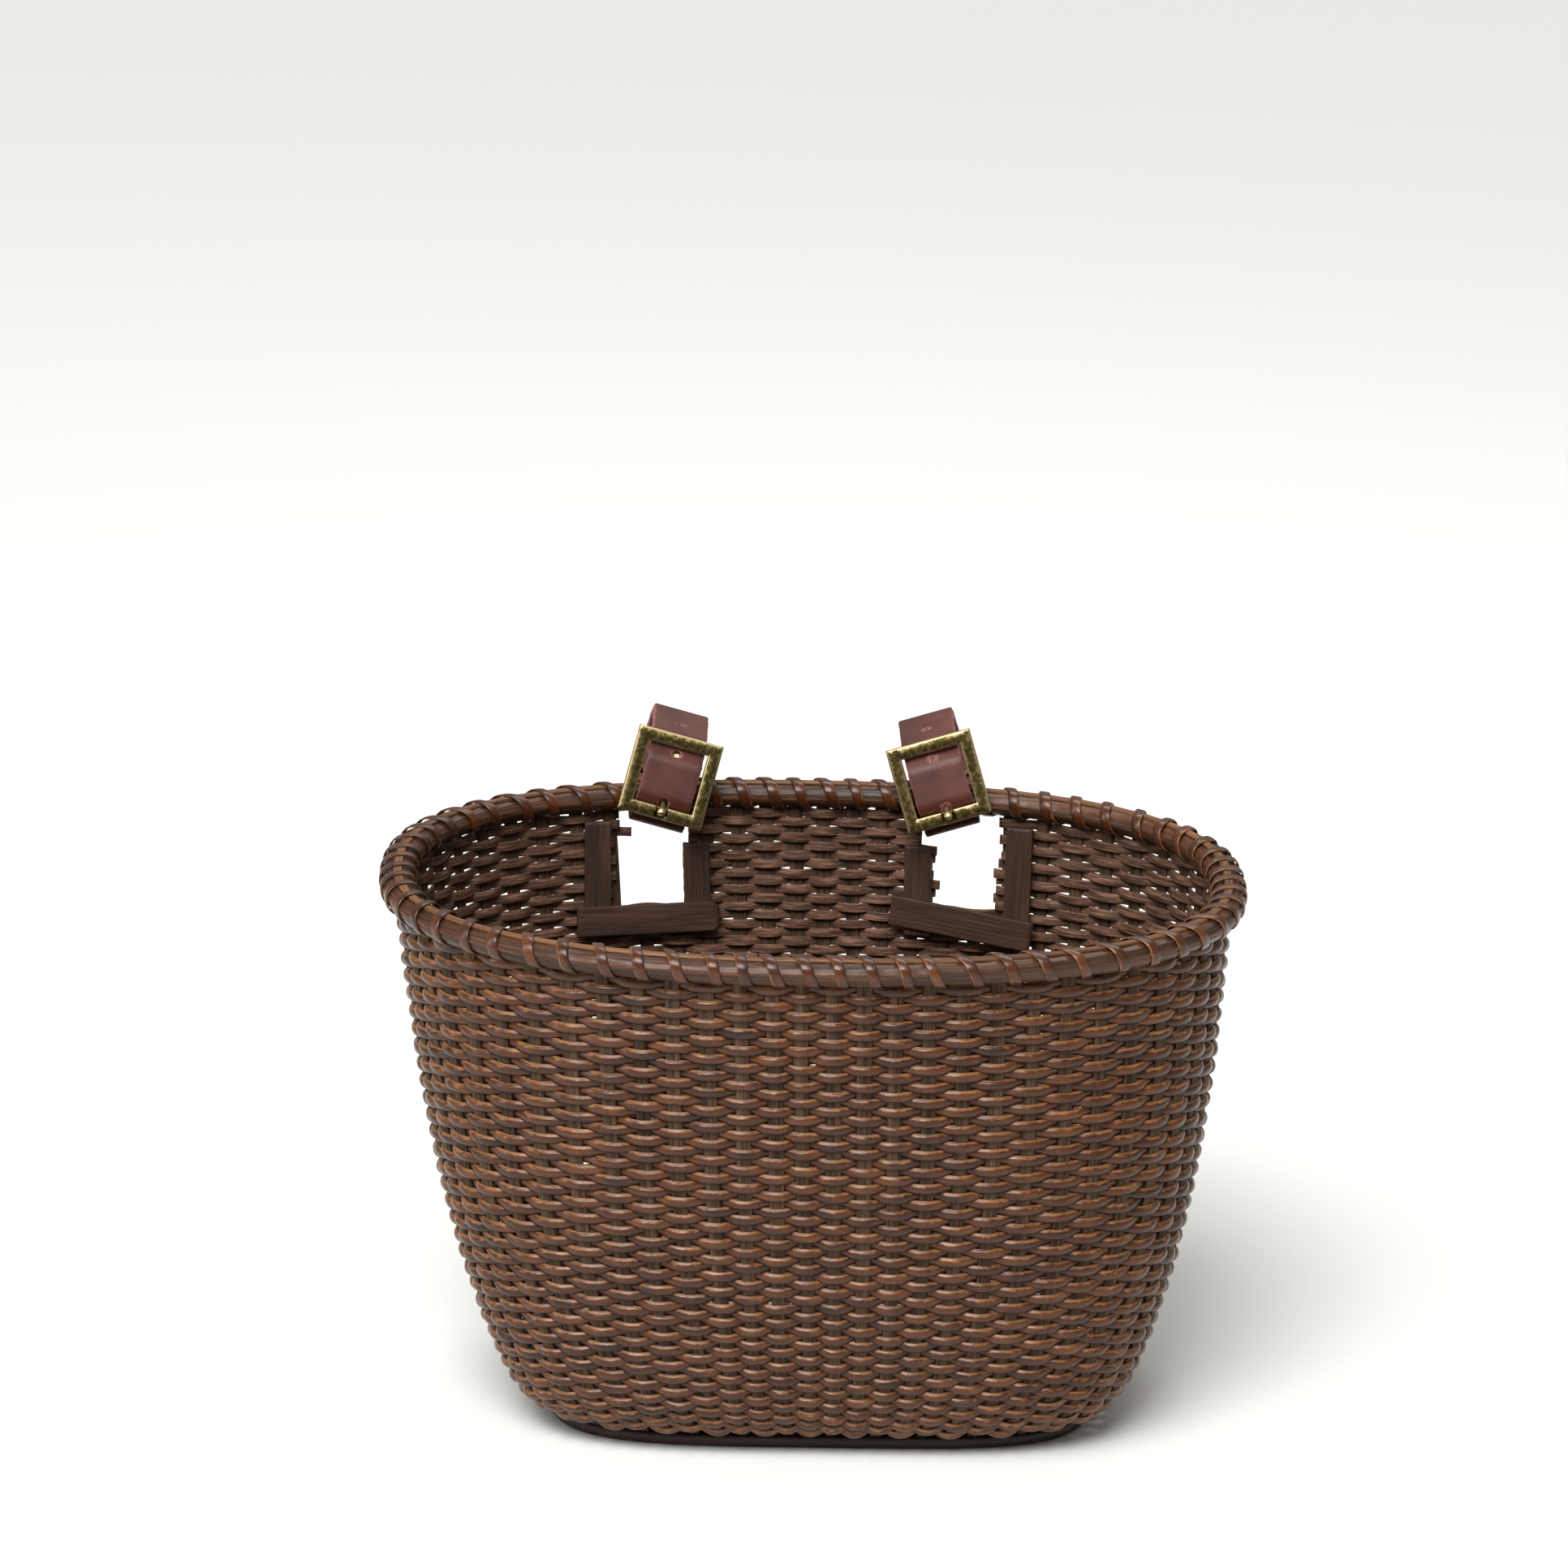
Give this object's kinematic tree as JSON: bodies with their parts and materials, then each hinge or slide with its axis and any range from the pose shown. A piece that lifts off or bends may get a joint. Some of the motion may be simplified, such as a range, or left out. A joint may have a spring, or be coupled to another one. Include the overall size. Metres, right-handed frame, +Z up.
{
  "type": "handlebar basket",
  "caption": "Oval woven cane basket with a wooden base, lashed rim and two buckled leather straps that hold it on a handlebar.",
  "frame": {"origin": "on the base board's flat underside, below the middle of the rim", "axes": "+Z up, +X to the right as seen from the front, +Y towards the back wall with the windows, straps and handlebar"},
  "size_m": [0.3464, 0.274, 0.252],
  "materials": {
    "base_wood": "dark brown stain, satin",
    "stake_reed": "dark stained flat reed, matt, with long fibres",
    "weaver_cane": "reddish brown lacquered cane, glossy outside and matt inside",
    "rim_cane": "dark stained half-round cane with long grain, satin",
    "filler_cane": "lighter stained cane strip, satin",
    "lashing_cane": "reddish brown flat cane, glossy",
    "slat_wood": "dark stained thin wood, satin",
    "strap_leather": "reddish brown smooth leather with pale raw edges",
    "rivet_brass": "dull",
    "buckle_brass": "antique brass, mottled, bright at its edges",
    "prong_brass": "bright, lightly worn"
  },
  "bodies": {
    "basket": {"base_board": "base_wood", "stakes": "stake_reed", "woven_wall": "weaver_cane", "rim_outer_cane": "rim_cane", "rim_inner_cane": "rim_cane", "rim_filler_cane": "filler_cane", "rim_lashing": "lashing_cane", "left_window_outer_slat": "slat_wood", "left_window_inner_slat": "slat_wood", "left_window_crosspiece": "slat_wood", "right_window_outer_slat": "slat_wood", "right_window_inner_slat": "slat_wood", "right_window_crosspiece": "slat_wood"},
    "left_strap_loop": {"left_strap": "strap_leather", "left_strap_rivet": "rivet_brass"},
    "left_buckle": {"left_buckle_frame": "buckle_brass"},
    "left_prong": {"left_buckle_prong": "prong_brass"},
    "right_strap_loop": {"right_strap": "strap_leather", "right_strap_rivet": "rivet_brass"},
    "right_buckle": {"right_buckle_frame": "buckle_brass"},
    "right_prong": {"right_buckle_prong": "prong_brass"}
  },
  "joints": [
    {"name": "left_strap_swing", "type": "hinge", "parent": "basket", "child": "left_strap_loop", "pos_m": [-0.0607, 0.10864, 0.219], "axis": [0.9843, 0.1766, 0], "range_deg": [-8, 12]},
    {"name": "left_buckle_tilt", "type": "hinge", "parent": "left_strap_loop", "child": "left_buckle", "pos_m": [-0.05799, 0.09998, 0.22896], "axis": [0.965, 0, -0.2622], "range_deg": [-2, 2]},
    {"name": "left_prong_lift", "type": "hinge", "parent": "left_buckle", "child": "left_prong", "pos_m": [-0.05799, 0.09998, 0.22896], "axis": [-0.965, 0, 0.2622], "range_deg": [0, 8]},
    {"name": "right_strap_swing", "type": "hinge", "parent": "basket", "child": "right_strap_loop", "pos_m": [0.0567, 0.10932, 0.219], "axis": [0.9872, -0.1597, 0], "range_deg": [-8, 12]},
    {"name": "right_buckle_tilt", "type": "hinge", "parent": "right_strap_loop", "child": "right_buckle", "pos_m": [0.05365, 0.10065, 0.22886], "axis": [0.9553, 0, 0.2957], "range_deg": [-2, 2]},
    {"name": "right_prong_lift", "type": "hinge", "parent": "right_buckle", "child": "right_prong", "pos_m": [0.05365, 0.10065, 0.22886], "axis": [-0.9553, 0, -0.2957], "range_deg": [0, 8]}
  ]
}
